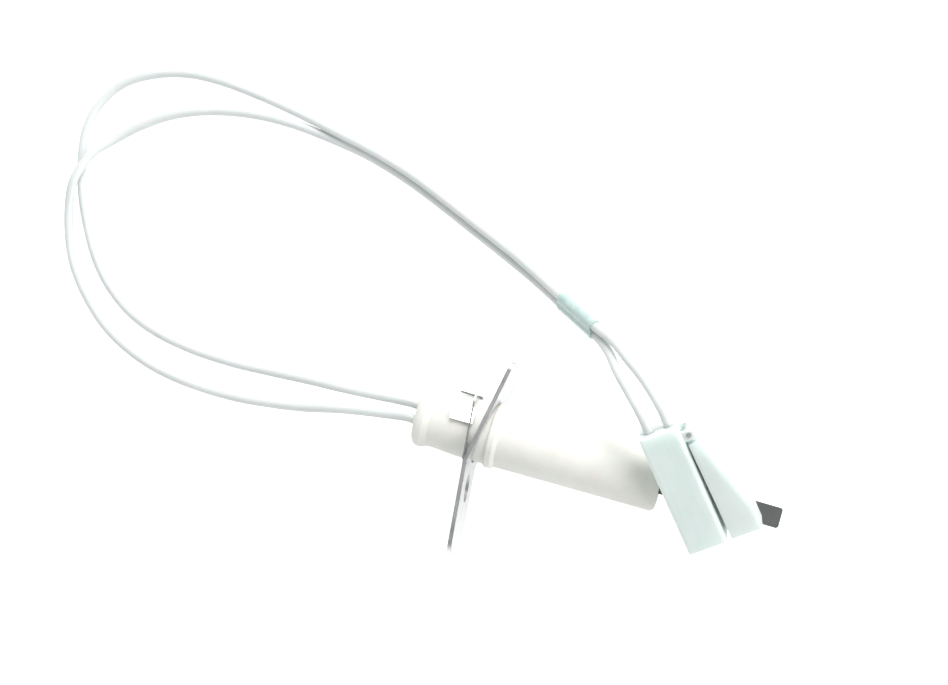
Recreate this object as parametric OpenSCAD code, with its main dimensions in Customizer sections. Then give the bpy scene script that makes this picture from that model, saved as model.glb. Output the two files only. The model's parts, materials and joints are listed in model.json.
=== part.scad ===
// Hot-surface flame probe: a ceramic holder with a flat dark blade, held in a bent steel
// bracket by a spring clip, with two leads that end in a two-way nylon plug.
// The probe lies on its bracket's long edge and its nose rim. +Z is up, z = 0 is the surface
// it lies on, and +X runs along the probe towards the blade. The origin is the middle of the
// probe's footprint, without the leads and the plug.
// Probe frame: x along the ceramic's axis, x = 0 at the bracket's bend, z across the strip.
// Plug frame: x = 0 at the mating end, +X out of it, z = 0 on the underside.

/* [Ceramic holder] */
// Radius of the front tube next to the collar
tube_r = 7.6; // [6.6:0.1:7.8]
// Radius of the front tube at the nose, smaller by the mould's draft
nose_r = 7.1; // [6:0.1:7.4]
// Length of the front tube from the collar to the nose
tube_len = 40.6; // [30:0.2:60]
// Radius of the collar that seats on the bracket
collar_r = 8.2; // [7.9:0.1:9.5]
// Width of the collar
collar_w = 2.8; // [1.6:0.1:5]
// Length of the rear boss behind the bracket's bend
boss_len = 15.6; // [13:0.1:26]
// Radius of the rear boss inside the bracket's hole
boss_r = 7.6; // [6.6:0.1:7.8]
// Depth of the boss's waist below the boss
waist_cut = 0.4; // [0.1:0.1:1]
// Height of the lip at the boss's rear end above the boss
lip_rise = 0.3; // [0:0.1:0.4]
// Radius of the rounded edge at the boss's rear end
end_round = 1.8; // [0.5:0.1:2.2]
// Bevel on the nose rim
nose_bevel = 0.8; // [0.2:0.1:1.5]
// Radius of the rear bore that holds the crimps
bore_r = 4.8; // [4.2:0.1:5.4]

/* [Heater blade] */
// Width of the blade
blade_w = 5; // [3:0.1:6]
// Thickness of the blade
blade_t = 1.3; // [0.8:0.05:1.8]
// Length of the blade outside the nose
blade_out = 30; // [18:0.5:45]
// Length of the blade inside the ceramic
blade_in = 20; // [14:0.5:26]

/* [Bracket] */
// Width of the steel strip
strip_w = 20.5; // [18.5:0.1:26]
// Thickness of the steel strip
strip_t = 1; // [0.6:0.1:1.6]
// Length of the leg that holds the ceramic, from the bend
upper_leg = 26.7; // [22:0.1:40]
// Length of the leg with the fixing hole, from the bend
lower_leg = 22.5; // [16:0.1:40]
// Forward lean of the leg that holds the ceramic
upper_lean = 9.5; // [0:0.5:12]
// Forward lean of the leg with the fixing hole
lower_lean = 6.5; // [0:0.5:30]
// Distance from the ceramic's axis to the bend
bend_off = 8.4; // [8.3:0.1:12]
// Diameter of the fixing hole
fix_hole_d = 7; // [4:0.1:9]
// Distance from the bend to the fixing hole, along the leg
fix_hole_at = 6.2; // [5:0.1:16]
// Radius of the strip's corners
corner_r = 2.5; // [0.5:0.1:6]

/* [Spring clip] */
// Thickness of the clip's spring steel
clip_t = 0.4; // [0.25:0.05:0.6]
// Width of the clip across the strip
clip_w = 18; // [16.5:0.1:20]
// Backward lean of the clip
clip_lean = 5.5; // [0:0.5:8]
// Width of each gripping tongue
tongue_w = 4.4; // [2.5:0.1:5.5]
// Length of each gripping tongue
tongue_len = 5.8; // [3:0.1:8]

/* [Leads] */
// Outside diameter of each lead
lead_d = 2.4; // [2:0.1:2.6]
// Distance between the leads where they leave the ceramic
lead_pitch = 3.8; // [3.2:0.1:4.4]

/* [Plug] */
// Length of the plug
plug_len = 31.5; // [27:0.5:50]
// Width of the plug's body at the cable end
plug_w = 10; // [9.4:0.1:16]
// Thickness of the plug
plug_t = 8.6; // [7:0.1:13]
// Distance that the side latch stands out at the mating end
latch_out = 8.9; // [5:0.1:12]
// Distance between the two contacts
contact_pitch = 5; // [4.2:0.02:6.4]
// Radius of the hole in each contact that takes the mating pin
socket_r = 1.1; // [0.6:0.05:1.2]
// Length of the ledge under the latch's slot
ledge_len = 22; // [10:0.5:24]
// How far the ledge stands out from the plug's side
ledge_out = 1.5; // [1.2:0.1:3]
// Thickness of the ledge
ledge_t = 0.4; // [0.3:0.05:0.45]

/* [Hidden] */
$fn = 64;
eps = 0.01;

// ---- bracket and how the probe lies ----
bend_y = -bend_off;
hole_clear = 0.5;
waist_r = boss_r - waist_cut;
lip_r = boss_r + lip_rise;
bracket_hole_r = boss_r + hole_clear;
ring_back = (bend_off + tube_r) * tan(upper_lean) + strip_t / 2 / cos(upper_lean);
ring_front = ring_back + collar_w;
nose_x = ring_front + tube_len;
rim_x = nose_x - nose_bevel;
tip_x = nose_x + blade_out;
foot_x = (upper_leg - corner_r) * sin(upper_lean) + strip_t / 2 * cos(upper_lean);
tilt = atan((strip_w / 2 - nose_r) / (rim_x - foot_x));
axis_h = foot_x * sin(tilt) + strip_w / 2 * cos(tilt);

// ---- the footprint, which sets the origin ----
end_x = -(boss_len - end_round) * cos(tilt) - (lip_r - end_round) * sin(tilt) - end_round;
front_x = tip_x * cos(tilt) + blade_t / 2 * sin(tilt);
far_y = bend_y + upper_leg * cos(upper_lean) + strip_t / 2 * sin(upper_lean);
near_y = bend_y - lower_leg * cos(lower_lean) - strip_t / 2 * sin(lower_lean);
mid = [(end_x + front_x) / 2, (far_y + near_y) / 2, 0];

// ---- inside the ceramic ----
blade_start = nose_x - blade_in;
bore_end = blade_start + 8;
slot_clear = 0.15;
pocket_w = 9.6;
pocket_h = 4.4;
pocket_deep = 5;
potting_in = 0.6;
potting_len = 8;
lead_hole_r = lead_d / 2 + 0.1;
lead_end = -(boss_len - potting_in - potting_len);
pad_len = 6;
pad_w = 1.6;
pad_t = 0.3;
tab_w = 1.2;
tab_t = 0.3;
tab_y = lead_pitch / 2;
tab_lift = blade_t / 2 + pad_t + tab_t / 2;
crimp_r = 1.3;
crimp_bore = 0.75;
crimp_len = 8;
crimp_x = blade_start - 18;
wire_r = 0.6;

// ---- clip ----
clip_gap = 0.05;
clip_reach = [0.9, 17];
clip_corner = 3;
tongue_gap = 0.15;
tongue_angles = [18, 90, 162];
clip_x = -strip_t / 2 - clip_gap - clip_t / 2;

// ---- plug ----
plug_turn = [8, 29, -51];
rest_angle = 20;
rest_at = [-19.5, -plug_w / 2 + 0.5, -0.2];
plug_edge = 1.2;
cavity_r = 1.65;
entry_r = lead_d / 2 + 0.1;
pin_entry_r = 1.35;
front_wall = 1.4;
rear_wall = 1.6;
latch_len = plug_len - 3;
latch_wall = 1.4;
latch_nose = 6;
latch_slot = [0.25, 1.1];
latch_inset = 0.9;
latch_skin = 0.7;
latch_pin_r = 0.6;
latch_pin_clear = 0.06;
ear_t = 1.2;
hinge_out = 1.5;
hinge = [-latch_len, plug_w / 2 + hinge_out, 0];

// Leads: places on the surface that the probe lies on, measured from the point below the
// bracket's bend on the ceramic's axis. Their ends follow the ceramic and the plug.
rings = 40;
route_a = [[-34, -4, 10.6], [-46, -6.2, 6.6], [-57, -7.5, 3.2], [-67, -8.2, 1.6], [-78, -8, 1.25],
    [-88, -6.7, 1.25], [-97, -4, 1.25], [-105, 0, 1.25], [-112, 5.5, 1.25], [-118, 12, 1.25],
    [-122, 18.5, 1.3], [-125, 27, 2.2], [-125.6, 35, 4.1], [-123.5, 43, 3.3], [-119, 49, 1.5],
    [-113, 54.5, 1.25], [-105.5, 59.3, 1.25], [-96, 62.8, 1.25], [-85, 64.7, 1.25], [-74, 64.9, 1.25],
    [-62.3, 63.7, 1.25], [-50.3, 61.6, 1.25], [-38.3, 58, 1.25], [-26.5, 53.3, 1.6], [-16.3, 48.8, 3],
    [-6.3, 44.3, 6], [2.6, 40, 9.4]];
route_b = [[-34, 1, 10.6], [-47, 0.8, 6.4], [-58, 0.5, 3.1], [-69, 0.2, 1.5], [-80, 0.6, 1.25],
    [-91, 2.3, 1.25], [-100, 5.5, 1.25], [-108, 10.8, 1.25], [-114, 17, 1.25], [-119, 24.5, 1.25],
    [-123, 32, 1.25], [-126, 40, 1.25], [-127.8, 48, 1.25], [-127, 56, 1.25], [-122.5, 63.5, 1.25],
    [-115, 68.3, 1.25], [-106, 70.9, 1.25], [-96, 71.3, 1.25], [-84, 70, 1.25], [-72, 67.9, 1.8],
    [-61.6, 65.5, 2.8], [-49.7, 62.9, 3.3], [-37.7, 59.3, 3.3], [-25.9, 54.6, 3.7], [-15.8, 50.2, 5.1],
    [-5.9, 45.8, 8.1], [2.6, 41.5, 11.3]];
sleeve_at = [16.6, 33.3, 16.9];
sleeve_run = [5.4, -2.85, 2.9];
sleeve_pair = [-0.1, 0.79, 0.945];
route_end_a = [[26.8, 26.2, 21.4], [30.8, 21.6, 23.8], [34.8, 17.6, 25.6]];
route_end_b = [[27.4, 28.7, 23], [32.8, 24.8, 25.2], [38, 20.9, 26.6]];
sleeve_wall = 0.35;

// ---- places in the three frames ----
function turn_y(p, a) = [p.x * cos(a) + p.z * sin(a), p.y, -p.x * sin(a) + p.z * cos(a)];
function turn_x(p, a) = [p.x, p.y * cos(a) - p.z * sin(a), p.y * sin(a) + p.z * cos(a)];
function turn_z(p, a) = [p.x * cos(a) - p.y * sin(a), p.x * sin(a) + p.y * cos(a), p.z];
function probe_point(p) = turn_y(p, tilt) + [0, 0, axis_h];
function plug_turned(p) = turn_z(turn_y(turn_x(p, plug_turn.x), plug_turn.y), plug_turn.z);
rim_rest = probe_point([rim_x, nose_r * sin(rest_angle), nose_r * cos(rest_angle)]);
plug_at = rim_rest - plug_turned(rest_at);
function plug_point(p) = plug_at + plug_turned(p);

module probe_frame() {
    translate([-mid.x, -mid.y, axis_h])
        rotate([0, tilt, 0])
            children();
}

module plug_frame() {
    translate(plug_at - mid)
        rotate(plug_turn)
            children();
}

// ---- shapes that repeat ----
// Cylinder along +X from x0 to x1
module bar_x(x0, x1, r) {
    translate([x0, 0, 0])
        rotate([0, 90, 0])
            cylinder(r = r, h = x1 - x0);
}

// Box from x0 to x1, centred on the axis
module block_x(x0, x1, w, h) {
    translate([x0, -w / 2, -h / 2])
        cube([x1 - x0, w, h]);
}

// Plate outline from s = start to s = len with two round corners at its far end
module strip_outline(len, w, r, start = 0) {
    translate([start, -w / 2])
        square([len - r - start, w]);
    translate([start, -w / 2 + r])
        square([len - start, w - 2 * r]);
    for (side = [-1, 1])
        translate([len - r, side * (w / 2 - r)])
            circle(r = r);
}

// Lays a plate drawn in s and w along a leg that leaves the bend at the angle turn
module along_leg(turn, t) {
    translate([0, bend_y, 0])
        rotate([90, 0, turn])
            translate([0, 0, -t / 2])
                linear_extrude(t)
                    children();
}

// Flat outline with straight sides and round ends
module stadium(w, h) {
    square([w - h, h], center = true);
    for (side = [-1, 1])
        translate([side * (w - h) / 2, 0])
            circle(d = h);
}

// ---- a swept lead ----
function spline(a, b, c, d, t) = 0.5 * (2 * b + (c - a) * t + (2 * a - 5 * b + 4 * c - d) * t * t
    + (3 * b - a - 3 * c + d) * t * t * t);
function clamp(i, n) = max(0, min(n, i));
function route_point(p, s) = let (n = len(p) - 1, i = min(floor(s), n - 1))
    spline(p[clamp(i - 1, n)], p[i], p[i + 1], p[clamp(i + 2, n)], s - i);
function unit(v) = v / norm(v);
function ring_at(c, along, r) = let (side = unit(cross([0, 0, 1], along)), up = cross(along, side))
    [for (k = [0 : 7]) c + r * (side * cos(45 * k) + up * sin(45 * k))];

module swept_lead(p, r) {
    n = len(p) - 1;
    c = [for (i = [0 : rings]) route_point(p, i * n / rings)];
    heading = [for (i = [0 : rings]) unit(c[min(i + 1, rings)] - c[max(i - 1, 0)])];
    skin = [for (i = [0 : rings]) each ring_at(c[i], heading[i], r)];
    walls = [for (i = [0 : rings - 1], k = [0 : 7]) let (a = 8 * i + k, b = 8 * i + (k + 1) % 8)
        each [[a, a + 8, b + 8], [a, b + 8, b]]];
    ends = [for (k = [1 : 6]) each [[0, k, k + 1], [8 * rings, 8 * rings + k + 1, 8 * rings + k]]];
    translate(-mid)
        polyhedron(skin, concat(walls, ends));
}

function lead_path(side, route, route_end) = concat(
    [for (x = [lead_end, -boss_len, -boss_len - 4]) probe_point([x, side * lead_pitch / 2, 0])],
    route,
    [for (u = [-1, 0, 1]) sleeve_at + u * sleeve_run + side * sleeve_pair],
    route_end,
    [for (x = [-5, 0, terminal_x - plug_rear]) plug_point([plug_rear + x, side * contact_pitch / 2, plug_t / 2])]);

plug_rear = -plug_len;
terminal_x = plug_rear + 5;

// ---- ceramic ----
module ceramic_profile() {
    polygon(concat(
        [[-boss_len, 0]],
        [for (a = [0 : 15 : 90]) [-boss_len + end_round * (1 - cos(a)), lip_r - end_round * (1 - sin(a))]],
        [[-boss_len + end_round + 0.6, lip_r], [-boss_len + 4, waist_r], [-boss_len + 6, waist_r],
         [-4, boss_r], [ring_back, boss_r], [ring_back, collar_r - 0.5], [ring_back + 0.5, collar_r],
         [ring_front - 0.9, collar_r], [ring_front, tube_r], [rim_x, nose_r],
         [nose_x, nose_r - nose_bevel], [nose_x, 0]]));
}

module ceramic_holder() {
    color("ghostwhite")
        probe_frame()
            difference() {
                rotate([90, 0, 90])
                    rotate_extrude($fn = 96)
                        rotate(90)
                            mirror([0, 1])
                                ceramic_profile();
                bar_x(-boss_len - 1, bore_end, bore_r);
                block_x(bore_end - eps, nose_x + 1, blade_w + 2 * slot_clear, blade_t + 2 * slot_clear);
                translate([nose_x - pocket_deep, 0, 0])
                    rotate([90, 0, 90])
                        linear_extrude(pocket_deep + 1)
                            stadium(pocket_w, pocket_h);
            }
}

module heater_blade() {
    chip = 0.4;
    color("dimgray")
        probe_frame()
            translate([blade_start, 0, -blade_t / 2])
                linear_extrude(blade_t)
                    polygon([[0, -blade_w / 2], [tip_x - blade_start - chip, -blade_w / 2],
                        [tip_x - blade_start, -blade_w / 2 + chip], [tip_x - blade_start, blade_w / 2 - chip],
                        [tip_x - blade_start - chip, blade_w / 2], [0, blade_w / 2]]);
}

// side is -1 for a, the lead nearest the fixing hole, and 1 for b
module contact_pad(side) {
    color("silver")
        probe_frame()
            translate([blade_start + 0.5, side * tab_y - pad_w / 2, side > 0 ? blade_t / 2 : -blade_t / 2 - pad_t])
                cube([pad_len, min(pad_w, pad_w / 2 + blade_w / 2 - tab_y), pad_t]);
}

// A flat strip from the blade's pad back into the crimp, with a joggle between
module contact_tab(side) {
    back = crimp_x + crimp_len / 2;
    bend_x = blade_start - 1.2;
    lift = side * tab_lift;
    half = tab_t / 2;
    color("gainsboro")
        probe_frame()
            translate([0, side * tab_y + tab_w / 2, 0])
                rotate([90, 0, 0])
                    linear_extrude(tab_w)
                        polygon([[back, -half], [bend_x - 2, -half], [bend_x, lift - half],
                            [blade_start + 5, lift - half], [blade_start + 5, lift + half],
                            [bend_x - 0.1, lift + half], [bend_x - 2.1, half], [back, half]]);
}

module crimp_sleeve(side) {
    color("darkkhaki")
        probe_frame()
            translate([0, side * tab_y, 0])
                difference() {
                    bar_x(crimp_x, crimp_x + crimp_len, crimp_r);
                    bar_x(crimp_x - 1, crimp_x + crimp_len + 1, crimp_bore);
                }
}

module conductor(side) {
    color("lightgray")
        probe_frame()
            translate([0, side * lead_pitch / 2, 0])
                bar_x(lead_end, crimp_x + crimp_len / 2 - 0.5, wire_r);
}

module front_cement() {
    color("antiquewhite")
        probe_frame()
            difference() {
                translate([nose_x - pocket_deep, 0, 0])
                    rotate([90, 0, 90])
                        linear_extrude(pocket_deep - 0.3)
                            stadium(pocket_w, pocket_h);
                block_x(nose_x - pocket_deep - 1, nose_x + 1, blade_w, blade_t);
            }
}

module rear_cement() {
    color("antiquewhite")
        probe_frame()
            difference() {
                bar_x(-boss_len + potting_in, lead_end, bore_r);
                for (side = [-1, 1])
                    translate([0, side * lead_pitch / 2, 0])
                        bar_x(-boss_len - 1, lead_end + 1, lead_hole_r);
            }
}

// ---- bracket and clip ----
// Edge view of the strip: two straight legs that meet in a mitre at the bend
module bent_strip() {
    half = (upper_lean + lower_lean) / 2;
    mitre = strip_t / 2 / cos(half);
    turn = (upper_lean - lower_lean) / 2;
    up = [sin(upper_lean), cos(upper_lean)] * upper_leg * 1.2;
    down = [sin(lower_lean), -cos(lower_lean)] * lower_leg * 1.2;
    up_side = [cos(upper_lean), -sin(upper_lean)] * strip_t / 2;
    down_side = [cos(lower_lean), sin(lower_lean)] * strip_t / 2;
    knee = [cos(turn), -sin(turn)] * mitre;
    polygon([up + up_side, knee, down + down_side, down - down_side, -knee, up - up_side]);
}

module mounting_bracket() {
    color("silver")
        probe_frame()
            difference() {
                intersection() {
                    translate([0, bend_y, -strip_w / 2])
                        linear_extrude(strip_w)
                            bent_strip();
                    union() {
                        along_leg(90 - upper_lean, 4 * strip_t)
                            strip_outline(upper_leg, strip_w, corner_r, -2);
                        along_leg(lower_lean - 90, 4 * strip_t)
                            strip_outline(lower_leg, strip_w, corner_r, -2);
                    }
                }
                along_leg(90 - upper_lean, 4 * strip_t)
                    translate([bend_off / cos(upper_lean), 0])
                        circle(r = bracket_hole_r);
                along_leg(lower_lean - 90, 4 * strip_t)
                    translate([fix_hole_at, 0])
                        circle(d = fix_hole_d);
            }
}

module spring_clip() {
    hole_r = boss_r + tongue_gap + 0.2;
    tongue_x = clip_x - bend_off * tan(clip_lean) / 2;
    color("lightsteelblue")
        probe_frame()
            difference() {
                union() {
                    translate([clip_x, bend_y, 0])
                        rotate([90, 0, 90 + clip_lean])
                            translate([0, 0, -clip_t / 2])
                                linear_extrude(clip_t)
                                    difference() {
                                        union() {
                                            strip_outline(clip_reach[1], clip_w, clip_corner);
                                            mirror([1, 0])
                                                strip_outline(clip_reach[0], clip_w - 4, 0.6);
                                        }
                                        translate([bend_off / cos(clip_lean), 0])
                                            circle(r = hole_r);
                                    }
                    for (a = tongue_angles)
                        rotate([-a, 0, 0])
                            translate([tongue_x - tongue_len, -tongue_w / 2, boss_r + tongue_gap])
                                cube([tongue_len, tongue_w, clip_t]);
                }
                bar_x(-boss_len, 0, boss_r + tongue_gap / 2);
            }
}

// ---- leads ----
module lead_a() {
    color("white")
        swept_lead(lead_path(-1, route_a, route_end_a), lead_d / 2);
}

module lead_b() {
    color("white")
        swept_lead(lead_path(1, route_b, route_end_b), lead_d / 2);
}

// Clear sleeve that holds the two leads together, one above the other
module lead_sleeve() {
    yaw = atan2(sleeve_run.y, sleeve_run.x);
    pitch = -atan2(sleeve_run.z, norm([sleeve_run.x, sleeve_run.y]));
    roll = 58;
    color("mintcream")
        translate(sleeve_at - sleeve_run - mid)
            rotate([0, pitch, yaw])
                rotate([90, 0, 90])
                    linear_extrude(2 * norm(sleeve_run))
                        rotate(roll)
                            difference() {
                                stadium(2 * lead_d + 0.4 + 2 * sleeve_wall, lead_d + 0.3 + 2 * sleeve_wall);
                                stadium(2 * lead_d + 0.4, lead_d + 0.3);
                            }
}

// ---- plug ----
// Block with its four long edges rounded
module rounded_block(x0, x1, y0, y1, h, r) {
    translate([x0, 0, 0])
        rotate([90, 0, 90])
            linear_extrude(x1 - x0) {
                translate([y0 + r, 0])
                    square([y1 - y0 - 2 * r, h]);
                translate([y0, r])
                    square([y1 - y0, h - 2 * r]);
                for (y = [y0 + r, y1 - r], z = [r, h - r])
                    translate([y, z])
                        circle(r = r);
            }
}

module plug_housing() {
    color("honeydew")
        plug_frame()
            difference() {
                union() {
                    rounded_block(plug_rear, 0, -plug_w / 2, plug_w / 2, plug_t, plug_edge);
                    for (z = [latch_inset, plug_t - latch_inset - ear_t])
                        translate([hinge.x, 0, z])
                            ear();
                    translate([-ledge_len, plug_w / 2 - plug_edge, 0])
                        cube([ledge_len, plug_edge + ledge_out, ledge_t]);
                }
                for (side = [-1, 1])
                    translate([0, side * contact_pitch / 2, plug_t / 2]) {
                        bar_x(plug_rear + rear_wall, -front_wall, cavity_r);
                        bar_x(plug_rear - 1, plug_rear + rear_wall + 1, entry_r);
                        bar_x(-front_wall - 1, 1, pin_entry_r);
                    }
                translate([hinge.x, hinge.y, -1])
                    cylinder(r = latch_pin_r, h = plug_t + 2);
            }
}

// Ear that carries the latch's pin
module ear() {
    translate([0, hinge.y, 0])
        cylinder(r = 1.3, h = ear_t);
    translate([-1.3, plug_w / 2 - 0.5, 0])
        cube([2.6, hinge.y - plug_w / 2 + 0.5, ear_t]);
}

module latch_pin() {
    color("silver")
        plug_frame()
            translate([hinge.x, hinge.y, latch_inset])
                cylinder(r = latch_pin_r, h = plug_t - 2 * latch_inset);
}

// Side latch: a knuckle on the pin, a sloping wall, a level wall at the mating end, and a
// web that closes the wedge between them and the plug's side
module plug_latch() {
    low = latch_inset + ear_t + 0.2;
    side_y = plug_w / 2;
    start = hinge.x + 2.4;
    root = hinge_out + 1.1;
    rise = (latch_out - root) / (latch_len - latch_nose);
    color("honeydew")
        plug_frame()
            difference() {
                union() {
                    translate([hinge.x, hinge.y, low])
                        cylinder(r = 1.2, h = plug_t - 2 * low);
                    translate([0, 0, low])
                        linear_extrude(plug_t - 2 * low)
                            polygon([[hinge.x, hinge.y - 0.4], [start + 1, side_y + latch_slot[0] + 0.3],
                                [start + 1, side_y + root + rise * 3.4], [hinge.x, hinge.y + 1.1]]);
                    translate([0, 0, latch_skin])
                        linear_extrude(plug_t - 2 * latch_skin)
                            polygon([[start, side_y + latch_slot[0] + 0.3], [0, side_y + latch_slot[1]],
                                [0, side_y + latch_out], [-latch_nose, side_y + latch_out],
                                [start, side_y + root + rise * 2.4]]);
                }
                translate([hinge.x, hinge.y, -1])
                    cylinder(r = latch_pin_r + latch_pin_clear, h = plug_t + 2);
                translate([0, 0, latch_skin - 1])
                    linear_extrude(plug_t - 2 * latch_skin - latch_wall + 1)
                        polygon([[start + 4, side_y + latch_slot[1] + latch_wall],
                            [-latch_wall, side_y + latch_slot[1] + latch_wall],
                            [-latch_wall, side_y + latch_out - latch_wall],
                            [-latch_nose, side_y + latch_out - latch_wall],
                            [start + 4, side_y + root + rise * 6.4 - latch_wall - 0.1]]);
            }
}

module terminal(side) {
    color("gold")
        plug_frame()
            translate([0, side * contact_pitch / 2, plug_t / 2])
                difference() {
                    union() {
                        bar_x(terminal_x + 1, terminal_x + 8, 1.25);
                        bar_x(terminal_x + 7, -front_wall - 0.3, 1.5);
                    }
                    bar_x(terminal_x, terminal_x + 6, wire_r + 0.1);
                    bar_x(-front_wall - 12, 0, socket_r);
                }
}

module plug_conductor(side) {
    color("lightgray")
        plug_frame()
            translate([0, side * contact_pitch / 2, plug_t / 2])
                bar_x(terminal_x, terminal_x + 5.8, wire_r);
}

ceramic_holder();
heater_blade();
contact_pad(-1);  // contact_pad_a
contact_pad(1);  // contact_pad_b
contact_tab(-1);  // contact_tab_a
contact_tab(1);  // contact_tab_b
crimp_sleeve(-1);  // crimp_sleeve_a
crimp_sleeve(1);  // crimp_sleeve_b
conductor(-1);  // conductor_a
conductor(1);  // conductor_b
front_cement();
rear_cement();
mounting_bracket();
spring_clip();
lead_a();
lead_b();
lead_sleeve();
plug_housing();
plug_latch();
latch_pin();
terminal(-1);  // terminal_a
terminal(1);  // terminal_b
plug_conductor(-1);  // plug_conductor_a
plug_conductor(1);  // plug_conductor_b
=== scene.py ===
import json
import math

import bpy
import bmesh
from mathutils import Matrix, Vector

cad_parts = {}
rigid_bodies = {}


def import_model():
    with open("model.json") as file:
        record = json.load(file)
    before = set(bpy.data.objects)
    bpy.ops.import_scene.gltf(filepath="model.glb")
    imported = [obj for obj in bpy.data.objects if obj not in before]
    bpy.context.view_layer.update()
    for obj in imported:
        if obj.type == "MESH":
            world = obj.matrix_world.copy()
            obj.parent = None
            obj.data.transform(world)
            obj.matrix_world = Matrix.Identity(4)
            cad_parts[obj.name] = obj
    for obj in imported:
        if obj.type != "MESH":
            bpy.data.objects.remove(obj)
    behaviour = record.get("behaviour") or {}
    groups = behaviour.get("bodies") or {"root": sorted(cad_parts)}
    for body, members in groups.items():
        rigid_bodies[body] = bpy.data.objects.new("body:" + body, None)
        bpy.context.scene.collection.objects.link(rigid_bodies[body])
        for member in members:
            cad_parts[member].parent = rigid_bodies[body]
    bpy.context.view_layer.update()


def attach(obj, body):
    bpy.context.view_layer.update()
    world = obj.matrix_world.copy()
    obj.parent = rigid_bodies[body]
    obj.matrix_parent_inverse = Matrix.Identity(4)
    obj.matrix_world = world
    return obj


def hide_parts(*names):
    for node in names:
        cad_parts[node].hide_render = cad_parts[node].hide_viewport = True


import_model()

MM = 0.001

# ---------------------------------------------------------------- camera
camera = bpy.data.objects.new("camera", bpy.data.cameras.new("camera"))
bpy.context.scene.collection.objects.link(camera)
camera.data.lens = 80
camera.data.sensor_width = 36
camera.data.sensor_fit = "HORIZONTAL"
camera.data.clip_start = 0.02
camera.data.clip_end = 20
right = Vector((0.9422, 0.2887, -0.1688)).normalized()
back = Vector((0.2103, -0.1188, 0.9704)).normalized()
over = back.cross(right).normalized()
right = over.cross(back)
turned = Matrix((right, over, back)).transposed().to_4x4()
camera.matrix_world = Matrix.Translation((0.072406, -0.035102, 0.5196)) @ turned
bpy.context.scene.camera = camera

# ---------------------------------------------------------------- places
# The two frames of the model, and the route of each lead, in millimetres as the CAD has them.
mid = Vector((30.194, -6.39781, 0))
tilt = math.radians(4.36187)
axis_height = 10.5616
plug_at = Vector((30.3913, -1.95185, 4.99912))
plug_along = Vector((0.550416, -0.679707, -0.48481))
plug_across = Vector((0.812045, 0.57076, 0.121724))
plug_up = Vector((0.193974, -0.460686, 0.866108))
plug_length, plug_width, plug_thick = 31.5, 10.0, 8.6
lead_wide = 2.4
lead_pitch = 3.8
contact_pitch = 5.0
tube_clear = 0.01
tube_sides = 20
span_steps = 8


def on_probe(x, y, z):
    """A point of the probe's own frame, in the shared frame."""
    c, s = math.cos(tilt), math.sin(tilt)
    return Vector((x * c + z * s, y, -x * s + z * c + axis_height)) - mid


def on_plug(x, y, z):
    """A point of the plug's own frame, in the shared frame."""
    return plug_at + plug_along * x + plug_across * y + plug_up * z


def on_table(points):
    return [Vector(p) - mid for p in points]


route_a = [(-34, -4, 10.6), (-46, -6.2, 6.6), (-57, -7.5, 3.2), (-67, -8.2, 1.6), (-78, -8, 1.25),
           (-88, -6.7, 1.25), (-97, -4, 1.25), (-105, 0, 1.25), (-112, 5.5, 1.25), (-118, 12, 1.25),
           (-122, 18.5, 1.3), (-125, 27, 2.2), (-125.6, 35, 4.1), (-123.5, 43, 3.3), (-119, 49, 1.5),
           (-113, 54.5, 1.25), (-105.5, 59.3, 1.25), (-96, 62.8, 1.25), (-85, 64.7, 1.25), (-74, 64.9, 1.25),
           (-62.3, 63.7, 1.25), (-50.3, 61.6, 1.25), (-38.3, 58, 1.25), (-26.5, 53.3, 1.6), (-16.3, 48.8, 3),
           (-6.3, 44.3, 6), (2.6, 40, 9.4)]
route_b = [(-34, 1, 10.6), (-47, 0.8, 6.4), (-58, 0.5, 3.1), (-69, 0.2, 1.5), (-80, 0.6, 1.25),
           (-91, 2.3, 1.25), (-100, 5.5, 1.25), (-108, 10.8, 1.25), (-114, 17, 1.25), (-119, 24.5, 1.25),
           (-123, 32, 1.25), (-126, 40, 1.25), (-127.8, 48, 1.25), (-127, 56, 1.25), (-122.5, 63.5, 1.25),
           (-115, 68.3, 1.25), (-106, 70.9, 1.25), (-96, 71.3, 1.25), (-84, 70, 1.25), (-72, 67.9, 1.8),
           (-61.6, 65.5, 2.8), (-49.7, 62.9, 3.3), (-37.7, 59.3, 3.3), (-25.9, 54.6, 3.7), (-15.8, 50.2, 5.1),
           (-5.9, 45.8, 8.1), (2.6, 41.5, 11.3)]
end_a = [(26.8, 26.2, 21.4), (30.8, 21.6, 23.8), (34.8, 17.6, 25.6)]
end_b = [(27.4, 28.7, 23), (32.8, 24.8, 25.2), (38, 20.9, 26.6)]
sleeve_at = Vector((16.6, 33.3, 16.9)) - mid
sleeve_run = Vector((5.4, -2.85, 2.9))
sleeve_pair = Vector((-0.1, 0.79, 0.945))


def lead_points(side, route, end):
    points = [on_probe(x, side * lead_pitch / 2, 0) for x in (-7.0, -15.6, -19.6)]
    points += on_table(route)
    points += [sleeve_at + sleeve_run * u + sleeve_pair * side for u in (-1, 0, 1)]
    points += on_table(end)
    points += [on_plug(-plug_length + x, side * contact_pitch / 2, plug_thick / 2) for x in (-5, 0, 5)]
    return points


def smooth_line(points, steps):
    """The curve through the points, with so many steps in each span."""
    line = []
    last = len(points) - 1
    for i in range(last):
        a, b, c, d = points[max(0, i - 1)], points[i], points[i + 1], points[min(last, i + 2)]
        for k in range(steps):
            t = k / steps
            line.append(0.5 * (2 * b + (c - a) * t + (2 * a - 5 * b + 4 * c - d) * t ** 2
                               + (3 * b - a - 3 * c + d) * t ** 3))
    return [p * MM for p in line + [points[last]]]


# ---------------------------------------------------------------- node helpers
def put(tree, kind, **settings):
    n = tree.nodes.new(kind)
    for key, value in settings.items():
        setattr(n, key, value)
    return n


def join(tree, out, into):
    tree.links.new(out, into)


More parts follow.
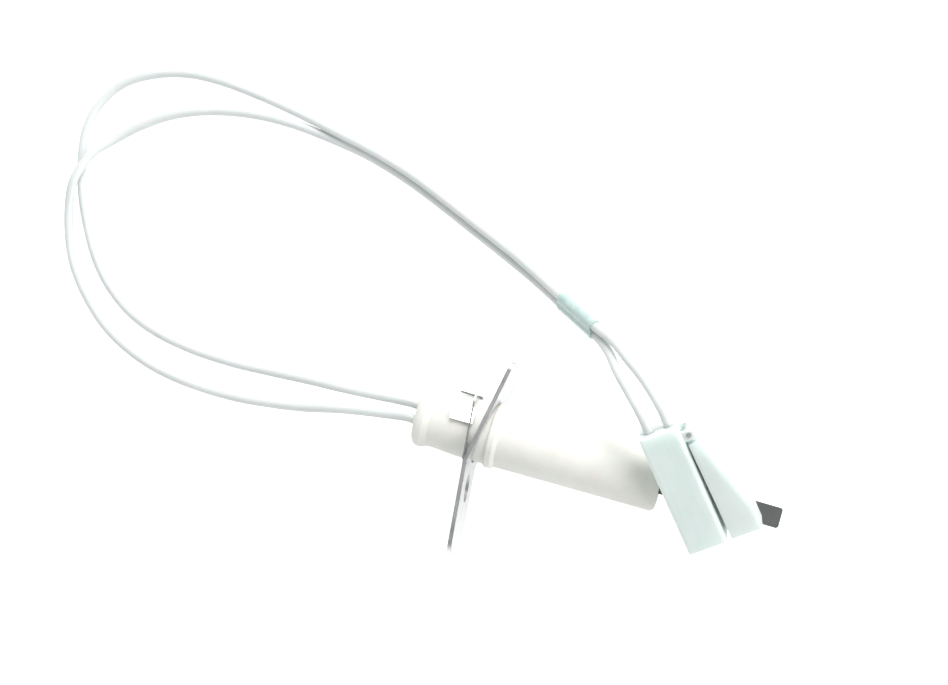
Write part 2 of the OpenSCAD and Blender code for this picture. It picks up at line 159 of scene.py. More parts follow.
def sum_of(tree, kind, a, b):
    """A Math node on two numbers or sockets."""
    n = put(tree, "ShaderNodeMath", operation=kind)
    for i, value in enumerate((a, b)):
        if hasattr(value, "is_linked"):
            join(tree, value, n.inputs[i])
        else:
            n.inputs[i].default_value = value
    return n.outputs[0]


def tone_between(tree, mask, low, high):
    """A colour between two, by a mask from 0 to 1."""
    n = put(tree, "ShaderNodeMix", data_type="RGBA")
    for value, socket in ((mask, n.inputs[0]), (low, n.inputs[6]), (high, n.inputs[7])):
        if hasattr(value, "is_linked"):
            join(tree, value, socket)
        else:
            socket.default_value = (*value, 1) if isinstance(value, tuple) else value
    return n.outputs[2]


def value_between(tree, mask, low, high):
    n = put(tree, "ShaderNodeMapRange")
    join(tree, mask, n.inputs["Value"])
    n.inputs["To Min"].default_value = low
    n.inputs["To Max"].default_value = high
    return n.outputs[0]


def new_group(name, ins, outs):
    group = bpy.data.node_groups.new(name, "ShaderNodeTree")
    for label, kind, value in ins:
        socket = group.interface.new_socket(name=label, in_out="INPUT", socket_type=kind)
        socket.default_value = value
    for label in outs:
        group.interface.new_socket(name=label, in_out="OUTPUT", socket_type="NodeSocketFloat")
    return group, group.nodes.new("NodeGroupInput"), group.nodes.new("NodeGroupOutput")


# ---------------------------------------------------------------- shared finishes
FLOAT, VECTOR = "NodeSocketFloat", "NodeSocketVector"


def make_grain():
    """Broad patches, fine grain and sparse specks, all on the piece's own coordinates."""
    g, gin, gout = new_group("grain", [("Patch Size", FLOAT, 6.0), ("Grain Size", FLOAT, 0.3),
                                       ("Speck Size", FLOAT, 0.5), ("Speck Share", FLOAT, 0.05)],
                             ["Patch", "Grain", "Speck"])
    place = put(g, "ShaderNodeTexCoord").outputs["Object"]
    for label, detail, out in (("Patch Size", 3, "Patch"), ("Grain Size", 4, "Grain")):
        scale = sum_of(g, "DIVIDE", 1000.0, gin.outputs[label])
        noise = put(g, "ShaderNodeTexNoise")
        noise.inputs["Detail"].default_value = detail
        join(g, place, noise.inputs["Vector"])
        join(g, scale, noise.inputs["Scale"])
        spread = put(g, "ShaderNodeMapRange")
        join(g, noise.outputs["Fac"], spread.inputs["Value"])
        spread.inputs["From Min"].default_value = 0.3
        spread.inputs["From Max"].default_value = 0.7
        join(g, spread.outputs[0], gout.inputs[out])
    cells = put(g, "ShaderNodeTexVoronoi", feature="F1")
    join(g, place, cells.inputs["Vector"])
    join(g, sum_of(g, "DIVIDE", 1000.0, gin.outputs["Speck Size"]), cells.inputs["Scale"])
    chance = put(g, "ShaderNodeSeparateColor")
    join(g, cells.outputs["Color"], chance.inputs[0])
    picked = sum_of(g, "LESS_THAN", chance.outputs[0], gin.outputs["Speck Share"])
    near = put(g, "ShaderNodeMapRange", interpolation_type="SMOOTHSTEP")
    join(g, cells.outputs["Distance"], near.inputs["Value"])
    near.inputs["From Min"].default_value = 0.12
    near.inputs["From Max"].default_value = 0.34
    near.inputs["To Min"].default_value = 1.0
    near.inputs["To Max"].default_value = 0.0
    join(g, sum_of(g, "MULTIPLY", picked, near.outputs[0]), gout.inputs["Speck"])
    return g


def make_edges():
    """Where the surface turns a corner: a mask for rubbed or sheared edges, broken up by noise. On the two
    steel parts it also carries painted shade and painted dark reflection along the edges.
    """
    g, gin, gout = new_group("edge_rub_and_shade", [("Width", FLOAT, 0.25), ("Break Up", FLOAT, 0.5)], ["Edge"])
    rounded = put(g, "ShaderNodeBevel", samples=6)
    join(g, sum_of(g, "MULTIPLY", gin.outputs["Width"], MM), rounded.inputs["Radius"])
    flat = put(g, "ShaderNodeNewGeometry")
    dot = put(g, "ShaderNodeVectorMath", operation="DOT_PRODUCT")
    join(g, rounded.outputs[0], dot.inputs[0])
    join(g, flat.outputs["Normal"], dot.inputs[1])
    turn = put(g, "ShaderNodeMapRange", interpolation_type="SMOOTHSTEP")
    join(g, dot.outputs["Value"], turn.inputs["Value"])
    turn.inputs["From Min"].default_value = 0.995
    turn.inputs["From Max"].default_value = 0.86
    noise = put(g, "ShaderNodeTexNoise")
    noise.inputs["Scale"].default_value = 900.0
    noise.inputs["Detail"].default_value = 4
    join(g, put(g, "ShaderNodeTexCoord").outputs["Object"], noise.inputs["Vector"])
    worn = sum_of(g, "SUBTRACT", noise.outputs["Fac"], gin.outputs["Break Up"])
    kept = put(g, "ShaderNodeMapRange")
    join(g, worn, kept.inputs["Value"])
    kept.inputs["From Min"].default_value = -0.15
    kept.inputs["From Max"].default_value = 0.1
    join(g, sum_of(g, "MULTIPLY", turn.outputs[0], kept.outputs[0]), gout.inputs["Edge"])
    return g


def make_lines():
    """Fine drawn or ground lines that run along one direction."""
    g, gin, gout = new_group("drawn_lines", [("Along", VECTOR, (1.0, 0.0, 0.0)), ("Line Width", FLOAT, 0.12)],
                             ["Lines"])
    place = put(g, "ShaderNodeTexCoord").outputs["Object"]
    run = put(g, "ShaderNodeVectorMath", operation="DOT_PRODUCT")
    join(g, place, run.inputs[0])
    join(g, gin.outputs["Along"], run.inputs[1])
    shift = put(g, "ShaderNodeVectorMath", operation="SCALE")
    join(g, gin.outputs["Along"], shift.inputs[0])
    join(g, sum_of(g, "MULTIPLY", run.outputs["Value"], 0.975), shift.inputs["Scale"])
    pressed = put(g, "ShaderNodeVectorMath", operation="SUBTRACT")
    join(g, place, pressed.inputs[0])
    join(g, shift.outputs[0], pressed.inputs[1])
    noise = put(g, "ShaderNodeTexNoise")
    noise.inputs["Detail"].default_value = 5
    noise.inputs["Roughness"].default_value = 0.6
    join(g, pressed.outputs[0], noise.inputs["Vector"])
    join(g, sum_of(g, "DIVIDE", 1000.0, gin.outputs["Line Width"]), noise.inputs["Scale"])
    spread = put(g, "ShaderNodeMapRange")
    join(g, noise.outputs["Fac"], spread.inputs["Value"])
    spread.inputs["From Min"].default_value = 0.3
    spread.inputs["From Max"].default_value = 0.7
    join(g, spread.outputs[0], gout.inputs["Lines"])
    return g


GRAIN, EDGES, LINES = make_grain(), make_edges(), make_lines()


def use(tree, group, **values):
    n = put(tree, "ShaderNodeGroup", node_tree=group)
    for label, value in values.items():
        n.inputs[label.replace("_", " ")].default_value = value
    return n.outputs


def new_finish(name, **constants):
    """A material with one Principled shader, and its even values set on its own sockets."""
    m = bpy.data.materials.new(name)
    m.use_nodes = True
    shader = next(n for n in m.node_tree.nodes if n.type == "BSDF_PRINCIPLED")
    for label, value in constants.items():
        shader.inputs[label.replace("_", " ")].default_value = value
    return m, m.node_tree, shader


def feed(tree, shader, colour, roughness, height, depth, round_edges=0.0):
    """Colour, roughness and relief into the shader. depth and round_edges are in millimetres."""
    join(tree, colour, shader.inputs["Base Color"])
    join(tree, roughness, shader.inputs["Roughness"])
    bump = put(tree, "ShaderNodeBump")
    bump.inputs["Strength"].default_value = 1.0
    bump.inputs["Distance"].default_value = depth * MM
    join(tree, height, bump.inputs["Height"])
    if round_edges:
        soft = put(tree, "ShaderNodeBevel", samples=6)
        soft.inputs["Radius"].default_value = round_edges * MM
        join(tree, soft.outputs[0], bump.inputs["Normal"])
    join(tree, bump.outputs[0], shader.inputs["Normal"])


def steatite():
    m, t, s = new_finish("steatite", IOR=1.52, Subsurface_Weight=0.12, Subsurface_Scale=0.0012)
    g = use(t, GRAIN, Patch_Size=7.0, Grain_Size=0.28, Speck_Size=0.9, Speck_Share=0.05)
    e = use(t, EDGES, Width=0.4, Break_Up=0.55)
    tone = tone_between(t, g["Patch"], (0.80, 0.785, 0.735), (0.87, 0.86, 0.82))
    tone = tone_between(t, value_between(t, g["Grain"], 0.0, 0.35), tone, (0.90, 0.89, 0.86))
    tone = tone_between(t, value_between(t, g["Speck"], 0.0, 0.3), tone, (0.60, 0.55, 0.46))
    tone = tone_between(t, value_between(t, e["Edge"], 0.0, 0.6), tone, (0.93, 0.925, 0.90))
    feed(t, s, tone, value_between(t, g["Patch"], 0.48, 0.62),
         sum_of(t, "SUBTRACT", g["Grain"], g["Speck"]), 0.018, 0.12)
    return m


def cement():
    m, t, s = new_finish("cement", IOR=1.5)
    g = use(t, GRAIN, Patch_Size=1.6, Grain_Size=0.22, Speck_Size=0.55, Speck_Share=0.25)
    tone = tone_between(t, g["Patch"], (0.62, 0.60, 0.53), (0.80, 0.78, 0.72))
    tone = tone_between(t, value_between(t, g["Speck"], 0.0, 0.7), tone, (0.36, 0.33, 0.28))
    feed(t, s, tone, value_between(t, g["Grain"], 0.75, 0.95), g["Grain"], 0.09)
    return m


def nitride():
    m, t, s = new_finish("nitride", IOR=2.0, Specular_IOR_Level=0.5)
    g = use(t, GRAIN, Patch_Size=2.4, Grain_Size=0.12, Speck_Size=0.35, Speck_Share=0.12)
    l = use(t, LINES, Along=tuple(on_probe(0, 1, 0) - on_probe(0, 0, 0)), Line_Width=0.09)
    e = use(t, EDGES, Width=0.16, Break_Up=0.42)
    tone = tone_between(t, g["Patch"], (0.030, 0.034, 0.033), (0.046, 0.051, 0.049))
    tone = tone_between(t, value_between(t, l["Lines"], 0.0, 0.4), tone, (0.070, 0.076, 0.073))
    tone = tone_between(t, value_between(t, g["Speck"], 0.0, 0.6), tone, (0.016, 0.018, 0.018))
    tone = tone_between(t, value_between(t, e["Edge"], 0.0, 0.6), tone, (0.17, 0.18, 0.175))
    feed(t, s, tone, value_between(t, l["Lines"], 0.40, 0.58), l["Lines"], 0.006, 0.07)
    return m


def strip_steel():
    m, t, s = new_finish("strip_steel", Metallic=1.0)
    along = Vector((0.113, -0.99, 0.0)).normalized()
    g = use(t, GRAIN, Patch_Size=5.0, Grain_Size=0.1, Speck_Size=0.5, Speck_Share=0.10)
    l = use(t, LINES, Along=tuple(along), Line_Width=0.10)
    e = use(t, EDGES, Width=0.3, Break_Up=0.46)
    tone = tone_between(t, g["Patch"], (0.50, 0.505, 0.505), (0.60, 0.605, 0.61))
    tone = tone_between(t, value_between(t, l["Lines"], 0.0, 0.6), tone, (0.70, 0.71, 0.715))
    tone = tone_between(t, value_between(t, g["Speck"], 0.0, 0.7), tone, (0.17, 0.17, 0.165))
    # Edges darker: partly the dull sheared edge, partly painted dark reflection along the strip's edges.
    tone = tone_between(t, value_between(t, e["Edge"], 0.0, 0.75), tone, (0.27, 0.27, 0.27))
    rough = sum_of(t, "ADD", value_between(t, l["Lines"], 0.30, 0.46),
                   value_between(t, g["Patch"], 0.0, 0.08))
    feed(t, s, tone, rough, l["Lines"], 0.010, 0.12)
    return m


def spring_steel():
    m, t, s = new_finish("spring_steel", Metallic=1.0)
    g = use(t, GRAIN, Patch_Size=3.0, Grain_Size=0.08, Speck_Size=0.6, Speck_Share=0.05)
    l = use(t, LINES, Along=tuple(on_probe(0, 1, 0) - on_probe(0, 0, 0)), Line_Width=0.07)
    e = use(t, EDGES, Width=0.12, Break_Up=0.45)
    tone = tone_between(t, g["Patch"], (0.66, 0.70, 0.70), (0.76, 0.80, 0.80))
    tone = tone_between(t, value_between(t, l["Lines"], 0.0, 0.4), tone, (0.86, 0.89, 0.89))
    # Edges much darker: painted shade along the clip's edges.
    tone = tone_between(t, value_between(t, e["Edge"], 0.0, 0.8), tone, (0.20, 0.19, 0.17))
    feed(t, s, tone, value_between(t, l["Lines"], 0.20, 0.34), l["Lines"], 0.004, 0.06)
    return m


def plain_metal(name, low, high, edge, rough, along):
    m, t, s = new_finish(name, Metallic=1.0)
    g = use(t, GRAIN, Patch_Size=1.5, Grain_Size=0.06, Speck_Size=0.3, Speck_Share=0.08)
    l = use(t, LINES, Along=tuple(along), Line_Width=0.06)
    e = use(t, EDGES, Width=0.1, Break_Up=0.45)
    tone = tone_between(t, g["Patch"], low, high)
    tone = tone_between(t, value_between(t, e["Edge"], 0.0, 0.6), tone, edge)
    feed(t, s, tone, value_between(t, l["Lines"], rough, rough + 0.16), l["Lines"], 0.004)
    return m


def lead_cover():
    """Smooth white insulation: faint draw marks that run with the lead, scuffs and a satin skin."""
    m, t, s = new_finish("lead_cover", IOR=1.42, Coat_Weight=0.15, Coat_Roughness=0.35,
                         Subsurface_Weight=0.15, Subsurface_Scale=0.0008)
    g = use(t, GRAIN, Patch_Size=9.0, Grain_Size=0.15, Speck_Size=1.1, Speck_Share=0.05)
    marks = put(t, "ShaderNodeCombineXYZ")
    for label, stretch, axis in (("around", 26.0, 0), ("along", 60.0, 1)):
        read = put(t, "ShaderNodeAttribute", attribute_name=label)
        join(t, sum_of(t, "MULTIPLY", read.outputs["Fac"], stretch), marks.inputs[axis])
    drawn = put(t, "ShaderNodeTexNoise")
    drawn.inputs["Scale"].default_value = 1.0
    drawn.inputs["Detail"].default_value = 3
    join(t, marks.outputs[0], drawn.inputs["Vector"])
    tone = tone_between(t, g["Patch"], (0.70, 0.735, 0.735), (0.755, 0.785, 0.785))
    tone = tone_between(t, value_between(t, drawn.outputs["Fac"], 0.0, 0.5), tone, (0.81, 0.825, 0.82))
    tone = tone_between(t, value_between(t, g["Speck"], 0.0, 0.35), tone, (0.52, 0.53, 0.52))
    feed(t, s, tone, value_between(t, drawn.outputs["Fac"], 0.30, 0.50), drawn.outputs["Fac"], 0.03)
    return m


def clear_sleeve():
    m, t, s = new_finish("clear_sleeve", IOR=1.45, Alpha=0.62, Coat_Weight=0.4, Coat_Roughness=0.12)
    g = use(t, GRAIN, Patch_Size=2.2, Grain_Size=0.35, Speck_Size=0.7, Speck_Share=0.05)
    e = use(t, EDGES, Width=0.2, Break_Up=0.4)
    tone = tone_between(t, g["Patch"], (0.60, 0.77, 0.74), (0.72, 0.86, 0.84))
    tone = tone_between(t, value_between(t, e["Edge"], 0.0, 0.5), tone, (0.86, 0.95, 0.93))
    feed(t, s, tone, value_between(t, g["Patch"], 0.14, 0.30), g["Grain"], 0.02)
    return m


def natural_nylon():
    m, t, s = new_finish("natural_nylon", IOR=1.53, Subsurface_Weight=0.85, Subsurface_Scale=0.005,
                         Subsurface_Radius=(0.85, 1.0, 0.95), Coat_Weight=0.1, Coat_Roughness=0.25)
    g = use(t, GRAIN, Patch_Size=8.0, Grain_Size=0.11, Speck_Size=1.7, Speck_Share=0.05)
    l = use(t, LINES, Along=tuple(plug_along), Line_Width=1.1)
    e = use(t, EDGES, Width=0.3, Break_Up=0.4)
    tone = tone_between(t, g["Patch"], (0.68, 0.80, 0.76), (0.75, 0.855, 0.825))
    tone = tone_between(t, value_between(t, l["Lines"], 0.0, 0.45), tone, (0.80, 0.89, 0.865))
    tone = tone_between(t, value_between(t, e["Edge"], 0.0, 0.55), tone, (0.90, 0.96, 0.945))
    tone = tone_between(t, value_between(t, g["Speck"], 0.0, 0.3), tone, (0.56, 0.60, 0.55))
    feed(t, s, tone, value_between(t, l["Lines"], 0.32, 0.46), g["Grain"], 0.010, 0.16)
    return m


probe_axis = on_probe(1, 0, 0) - on_probe(0, 0, 0)
WHITE_COVER = lead_cover()
NYLON = natural_nylon()
SLEEVE = clear_sleeve()
NICKEL = plain_metal("nickel", (0.56, 0.54, 0.50), (0.68, 0.66, 0.62), (0.78, 0.76, 0.72), 0.24, probe_axis)
TIN = plain_metal("tinned_brass", (0.58, 0.55, 0.45), (0.70, 0.67, 0.58), (0.74, 0.62, 0.34), 0.26,
                  plug_along)
PIN_STEEL = plain_metal("pin_steel", (0.50, 0.50, 0.49), (0.62, 0.62, 0.61), (0.72, 0.72, 0.70), 0.2,
                        plug_up)
finishes = {
    "ceramic_holder": steatite(), "heater_blade": nitride(), "mounting_bracket": strip_steel(),
    "spring_clip": spring_steel(), "plug_housing": NYLON, "plug_latch": NYLON,
    "latch_pin": PIN_STEEL,
}
CEMENT = cement()
BRASS = plain_metal("crimp_brass", (0.60, 0.50, 0.30), (0.72, 0.62, 0.40), (0.80, 0.70, 0.46), 0.26,
                    probe_axis)
for side in "ab":
    finishes["contact_pad_" + side] = finishes["contact_tab_" + side] = NICKEL
    finishes["conductor_" + side] = finishes["plug_conductor_" + side] = NICKEL
    finishes["crimp_sleeve_" + side] = BRASS
    finishes["terminal_" + side] = TIN
finishes["front_cement"] = finishes["rear_cement"] = CEMENT


def finish_node(name, material):
    piece = bpy.data.objects[name]
    if not piece.data.materials:
        piece.data.materials.append(material)
    for i in range(len(piece.data.materials)):
        piece.data.materials[i] = material


for name, material in finishes.items():
    finish_node(name, material)


# ---------------------------------------------------------------- leads
def make_lead_tube():
    """Sweeps a round tube along a line, and keeps how far along and round each point is."""
    tree = bpy.data.node_groups.new("lead_tube", "GeometryNodeTree")
    sockets = tree.interface
    sockets.new_socket(name="Line", in_out="INPUT", socket_type="NodeSocketGeometry")
    sockets.new_socket(name="Radius", in_out="INPUT", socket_type="NodeSocketFloat")
    sockets.new_socket(name="Sides", in_out="INPUT", socket_type="NodeSocketInt")
    sockets.new_socket(name="Cover", in_out="INPUT", socket_type="NodeSocketMaterial")
    sockets.new_socket(name="Tube", in_out="OUTPUT", socket_type="NodeSocketGeometry")
    gin, gout = tree.nodes.new("NodeGroupInput"), tree.nodes.new("NodeGroupOutput")
    run = put(tree, "GeometryNodeSplineParameter")
    mark = put(tree, "GeometryNodeStoreNamedAttribute", data_type="FLOAT", domain="POINT")
    mark.inputs["Name"].default_value = "along"
    join(tree, gin.outputs["Line"], mark.inputs["Geometry"])
    join(tree, run.outputs["Length"], mark.inputs["Value"])
    ring = put(tree, "GeometryNodeCurvePrimitiveCircle", mode="RADIUS")
    join(tree, gin.outputs["Sides"], ring.inputs["Resolution"])
    join(tree, gin.outputs["Radius"], ring.inputs["Radius"])
    turn = put(tree, "GeometryNodeStoreNamedAttribute", data_type="FLOAT", domain="POINT")
    turn.inputs["Name"].default_value = "around"
    join(tree, ring.outputs["Curve"], turn.inputs["Geometry"])
    join(tree, put(tree, "GeometryNodeSplineParameter").outputs["Factor"], turn.inputs["Value"])
    sweep = put(tree, "GeometryNodeCurveToMesh")
    sweep.inputs["Fill Caps"].default_value = True
    join(tree, mark.outputs["Geometry"], sweep.inputs["Curve"])
    join(tree, turn.outputs["Geometry"], sweep.inputs["Profile Curve"])
    soft = put(tree, "GeometryNodeSetShadeSmooth")
    join(tree, sweep.outputs["Mesh"], soft.inputs["Geometry"])
    whole = put(tree, "GeometryNodeRealizeInstances")
    join(tree, soft.outputs[0], whole.inputs[0])
    paint = put(tree, "GeometryNodeSetMaterial")
    join(tree, whole.outputs[0], paint.inputs["Geometry"])
    join(tree, gin.outputs["Cover"], paint.inputs["Material"])
    join(tree, paint.outputs[0], gout.inputs["Tube"])
    return tree


def grown(name, start, tree, values):
    """A plain mesh object from a Geometry Nodes tree on a start object."""
    bpy.context.scene.collection.objects.link(start)
    modifier = start.modifiers.new("made", "NODES")
    modifier.node_group = tree
    sockets = {s.name: s.identifier for s in tree.interface.items_tree if s.in_out == "INPUT"}
    for label, value in values.items():
        modifier[sockets[label]] = value
    evaluated = start.evaluated_get(bpy.context.evaluated_depsgraph_get())
    mesh = bpy.data.meshes.new_from_object(evaluated)
    mesh.name = name
    bpy.data.objects.remove(start)
    piece = bpy.data.objects.new(name, mesh)
    bpy.context.scene.collection.objects.link(piece)
    return piece


def line_object(name, line):
    curve = bpy.data.curves.new(name, "CURVE")
    curve.dimensions = "3D"
    spline = curve.splines.new("POLY")
    spline.points.add(len(line) - 1)
    for point, place in zip(spline.points, line):
        point.co = (*place, 1)
    return bpy.data.objects.new(name, curve)


tube_tree = make_lead_tube()
leads = {}
for letter, side, route, end in (("a", -1, route_a, end_a), ("b", 1, route_b, end_b)):
    line = smooth_line(lead_points(side, route, end), span_steps)
    lead = grown("lead_cover_" + letter, line_object("lead_line", line), tube_tree,
                 {"Radius": (lead_wide / 2 - tube_clear) * MM, "Sides": tube_sides, "Cover": WHITE_COVER})
    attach(lead, "probe")
    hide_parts("lead_" + letter)
    leads[letter] = (lead, line, side)


# ---------------------------------------------------------------- shrink sleeve
def hug(angle, spare):
    """How far the sleeve is from its middle at an angle, round two leads that lie side by side."""
    half, radius, blend = sleeve_pair.length, lead_wide / 2 + spare, 0.9
    low, high = 0.3, 6.0
    for _ in range(30):
        far = (low + high) / 2
        x, y = far * math.cos(angle), far * math.sin(angle)
        a, b = math.hypot(x - half, y) - radius, math.hypot(x + half, y) - radius
        h = max(blend - abs(a - b), 0) / blend
        if min(a, b) - h * h * blend / 4 < 0:
            low = far
        else:
            high = far
    return low


def make_sleeve():
    run = sleeve_run.normalized()
    wide = (sleeve_pair - run * sleeve_pair.dot(run)).normalized()
    thick = run.cross(wide)
    reach, rings, sides, wall = sleeve_run.length, 28, 48, 0.34
    mesh = bmesh.new()
    shells = []
    for proud in (0.0, wall):
        shell = []
        for i in range(rings + 1):
            u = -1 + 2 * i / rings
            loose = 0.07 + 0.05 * max(0.0, (abs(u) - 0.82) / 0.18)
            ring = []
            for k in range(sides):
                angle = 2 * math.pi * k / sides
                ripple = 0.018 * math.sin(5 * angle + 9 * u) * math.sin(14 * u) if proud else 0.0
                far = hug(angle, loose + proud + ripple)
                cut = 0.16 * math.sin(3 * angle + 1.0 + u) * max(0.0, abs(u) - 0.9) * 10
                place = sleeve_at + run * (reach * u + cut)
                place += wide * far * math.cos(angle) + thick * far * math.sin(angle)
                ring.append(mesh.verts.new(place * MM))
            shell.append(ring)
        shells.append(shell)
    for shell in shells:
        for a, b in zip(shell, shell[1:]):
            for k in range(sides):
                mesh.faces.new((a[k], a[k - 1], b[k - 1], b[k]))
    for i in (0, -1):
        for k in range(sides):
            mesh.faces.new((shells[0][i][k], shells[0][i][k - 1], shells[1][i][k - 1], shells[1][i][k]))
    bmesh.ops.recalc_face_normals(mesh, faces=mesh.faces)
    for face in mesh.faces:
        face.smooth = True
    data = bpy.data.meshes.new("shrink_sleeve")
    mesh.to_mesh(data)
    mesh.free()
    piece = bpy.data.objects.new("shrink_sleeve", data)
    bpy.context.scene.collection.objects.link(piece)
    piece.data.materials.append(SLEEVE)
    return piece


sleeve = make_sleeve()
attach(sleeve, "probe")
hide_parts("lead_sleeve")


# ---------------------------------------------------------------- moulding marks on the plug
# The rings and the gate stub are on the plug's underside, and the flash line is on its straight side.
def make_mark_rings():
    """Small raised rings, one at each point, as ejector pins leave on a moulding."""
    tree = bpy.data.node_groups.new("mark_rings", "GeometryNodeTree")
    sockets = tree.interface
    sockets.new_socket(name="Points", in_out="INPUT", socket_type="NodeSocketGeometry")
    for label in ("Ring Radius", "Bead Radius"):
        sockets.new_socket(name=label, in_out="INPUT", socket_type="NodeSocketFloat")
    sockets.new_socket(name="Turn", in_out="INPUT", socket_type="NodeSocketVector")
    sockets.new_socket(name="Cover", in_out="INPUT", socket_type="NodeSocketMaterial")
    sockets.new_socket(name="Rings", in_out="OUTPUT", socket_type="NodeSocketGeometry")
    gin, gout = tree.nodes.new("NodeGroupInput"), tree.nodes.new("NodeGroupOutput")
    ring = put(tree, "GeometryNodeCurvePrimitiveCircle", mode="RADIUS")
    ring.inputs["Resolution"].default_value = 28
    join(tree, gin.outputs["Ring Radius"], ring.inputs["Radius"])
    bead = put(tree, "GeometryNodeCurvePrimitiveCircle", mode="RADIUS")
    bead.inputs["Resolution"].default_value = 8
    join(tree, gin.outputs["Bead Radius"], bead.inputs["Radius"])
    sweep = put(tree, "GeometryNodeCurveToMesh")
    join(tree, ring.outputs["Curve"], sweep.inputs["Curve"])
    join(tree, bead.outputs["Curve"], sweep.inputs["Profile Curve"])
    spots = put(tree, "GeometryNodeMeshToPoints")
    join(tree, gin.outputs["Points"], spots.inputs["Mesh"])
    place = put(tree, "GeometryNodeInstanceOnPoints")
    join(tree, spots.outputs[0], place.inputs["Points"])
    join(tree, sweep.outputs["Mesh"], place.inputs["Instance"])
    join(tree, gin.outputs["Turn"], place.inputs["Rotation"])
    soft = put(tree, "GeometryNodeSetShadeSmooth")
    whole = put(tree, "GeometryNodeRealizeInstances")
    join(tree, place.outputs[0], whole.inputs[0])
    join(tree, whole.outputs[0], soft.inputs["Geometry"])
    paint = put(tree, "GeometryNodeSetMaterial")
    join(tree, soft.outputs[0], paint.inputs["Geometry"])
    join(tree, gin.outputs["Cover"], paint.inputs["Material"])
    join(tree, paint.outputs[0], gout.inputs["Rings"])
    return tree


def point_object(name, points):
    mesh = bpy.data.meshes.new(name)
    mesh.from_pydata([p * MM for p in points], [], [])
    return bpy.data.objects.new(name, mesh)


plug_turn = Matrix((plug_along, plug_across, plug_up)).transposed().to_euler()
mark_sink = 0.02
mark_places = [on_plug(x, y, mark_sink) for x in (-26.5, -5.5) for y in (-2.6, 2.6)]
ejector_marks = grown("ejector_marks", point_object("mark_points", mark_places), make_mark_rings(),
                      {"Ring Radius": 0.9 * MM, "Bead Radius": 0.07 * MM, "Turn": tuple(plug_turn),
                       "Cover": NYLON})


def make_seam():
    """The flash line that the two mould halves leave along the plug's straight side."""
    end_gap, count = 0.6, 24
    first = on_plug(-end_gap, -plug_width / 2, plug_thick / 2)
    final = on_plug(-plug_length + end_gap, -plug_width / 2, plug_thick / 2)
    steps = [first.lerp(final, i / count) * MM for i in range(count + 1)]
    return grown("seam_line", line_object("seam_path", steps), tube_tree,
                 {"Radius": 0.06 * MM, "Sides": 8, "Cover": NYLON})


seam_line = make_seam()


def make_gate():
    """The snapped-off stub on the underside, where the nylon ran in: a shallow dish with a torn pip."""
    middle = -8
    outline = [(0.0, 0.10), (0.16, 0.12), (0.26, 0.07), (0.34, 0.02), (0.62, 0.012), (0.78, 0.05),
               (0.9, 0.06), (1.0, 0.02), (1.02, -0.05)]
    mesh = bmesh.new()
    sides = 32
    rings = []
    for far, high in outline:
        if far == 0.0:
            rings.append([mesh.verts.new(on_plug(middle, 0, -high) * MM)])
            continue
        ring = []
        for k in range(sides):
            angle = 2 * math.pi * k / sides
            torn = 0.03 * math.sin(3 * angle + 0.7) if far < 0.3 else 0.0
            ring.append(mesh.verts.new(on_plug(middle + far * math.cos(angle), far * math.sin(angle),
                                               -high - torn) * MM))
        rings.append(ring)
    for k in range(sides):
        mesh.faces.new((rings[0][0], rings[1][k - 1], rings[1][k]))
    for a, b in zip(rings[1:], rings[2:]):
        for k in range(sides):
            mesh.faces.new((a[k - 1], b[k - 1], b[k], a[k]))
    mesh.faces.new(rings[-1])
    bmesh.ops.recalc_face_normals(mesh, faces=mesh.faces)
    for face in mesh.faces:
        face.smooth = len(face.verts) < 5
    data = bpy.data.meshes.new("gate_mark")
    mesh.to_mesh(data)
    mesh.free()
    piece = bpy.data.objects.new("gate_mark", data)
    bpy.context.scene.collection.objects.link(piece)
    piece.data.materials.append(NYLON)
    return piece


gate_mark = make_gate()
plug_marks = [ejector_marks, seam_line, gate_mark]
for piece in plug_marks:
    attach(piece, "probe")

# ---------------------------------------------------------------- the pieces listed for each lead (not used further)
for letter, (lead, line, side) in leads.items():
    on_it = [bpy.data.objects[n] for n in ("plug_housing", "terminal_" + letter, "plug_conductor_" + letter)]
    if letter == "a":
        on_it += [sleeve, *plug_marks, bpy.data.objects["plug_latch"], bpy.data.objects["latch_pin"]]

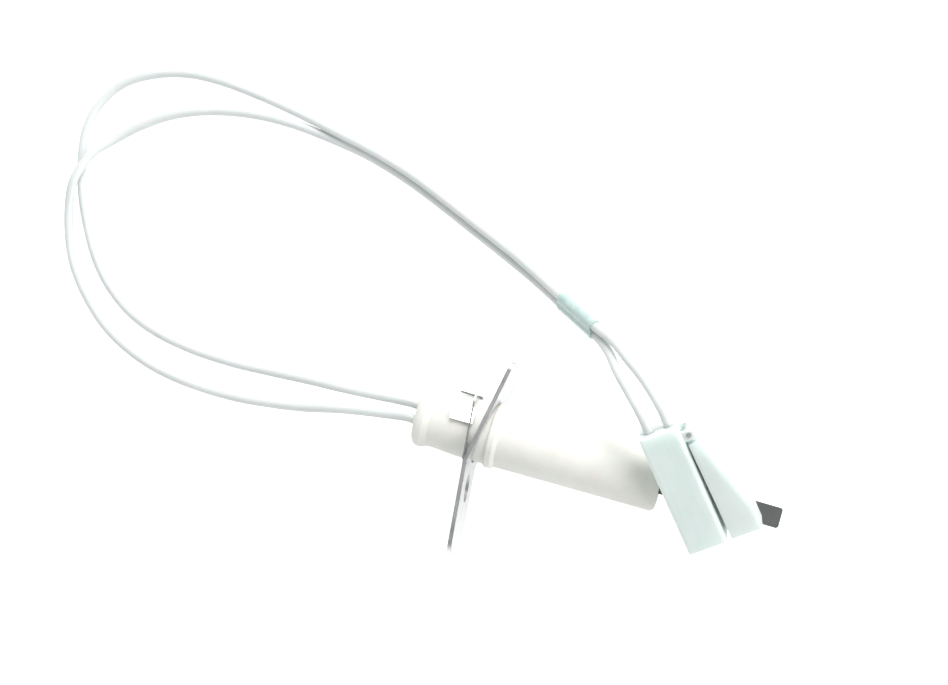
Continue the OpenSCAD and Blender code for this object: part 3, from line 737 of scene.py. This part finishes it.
# ---------------------------------------------------------------- stage and light
floor_mesh = bpy.data.meshes.new("floor")
floor_mesh.from_pydata([(-3, -3, 0), (3, -3, 0), (3, 3, 0), (-3, 3, 0)], [], [(0, 1, 2, 3)])
floor = bpy.data.objects.new("floor", floor_mesh)
bpy.context.scene.collection.objects.link(floor)
floor_paint, floor_tree, floor_shader = new_finish("floor_paint", Roughness=0.9, Specular_IOR_Level=0.2,
                                                   Emission_Color=(1, 1, 1, 1))
rays = put(floor_tree, "ShaderNodeLightPath").outputs["Is Diffuse Ray"]
join(floor_tree, value_between(floor_tree, rays, 0.8, 0.0), floor_shader.inputs["Emission Strength"])
floor_grain = use(floor_tree, GRAIN, Patch_Size=60.0, Grain_Size=1.0, Speck_Size=1.0, Speck_Share=0.0)
join(floor_tree, tone_between(floor_tree, floor_grain["Patch"], (0.72, 0.72, 0.72), (0.74, 0.74, 0.74)),
     floor_shader.inputs["Base Color"])
floor.data.materials.append(floor_paint)

world = bpy.data.worlds.new("studio")
bpy.context.scene.world = world
world.use_nodes = True
# A white tent, bright at its sides and dim overhead
sky = world.node_tree.nodes["Background"]
sky.inputs["Color"].default_value = (0.97, 1.0, 0.99, 1)
toward = put(world.node_tree, "ShaderNodeSeparateXYZ")
join(world.node_tree, put(world.node_tree, "ShaderNodeTexCoord").outputs["Generated"], toward.inputs[0])
tent = put(world.node_tree, "ShaderNodeMapRange", interpolation_type="SMOOTHSTEP")
join(world.node_tree, toward.outputs["Z"], tent.inputs["Value"])
for label, value in (("From Min", 0.35), ("From Max", 0.92), ("To Min", 1.0), ("To Max", 0.28)):
    tent.inputs[label].default_value = value
join(world.node_tree, tent.outputs[0], sky.inputs["Strength"])


def soft_lamp(name, place, aim, size, power, colour):
    lamp = bpy.data.objects.new(name, bpy.data.lights.new(name, "AREA"))
    bpy.context.scene.collection.objects.link(lamp)
    lamp.data.shape = "DISK"
    lamp.data.size = size
    lamp.data.energy = power
    lamp.data.color = colour
    lamp.location = place
    lamp.rotation_mode = "QUATERNION"
    lamp.rotation_quaternion = (Vector(aim) - Vector(place)).to_track_quat("-Z", "Y")


soft_lamp("window_light", (0.05, 0.8, 0.7), (0, 0.02, 0), 0.6, 9, (1.0, 1.0, 0.985))
soft_lamp("side_light", (0.9, 0.1, 0.6), (0, 0.02, 0), 0.6, 4, (1.0, 1.0, 1.0))
bpy.context.scene.view_settings.view_transform = "Standard"
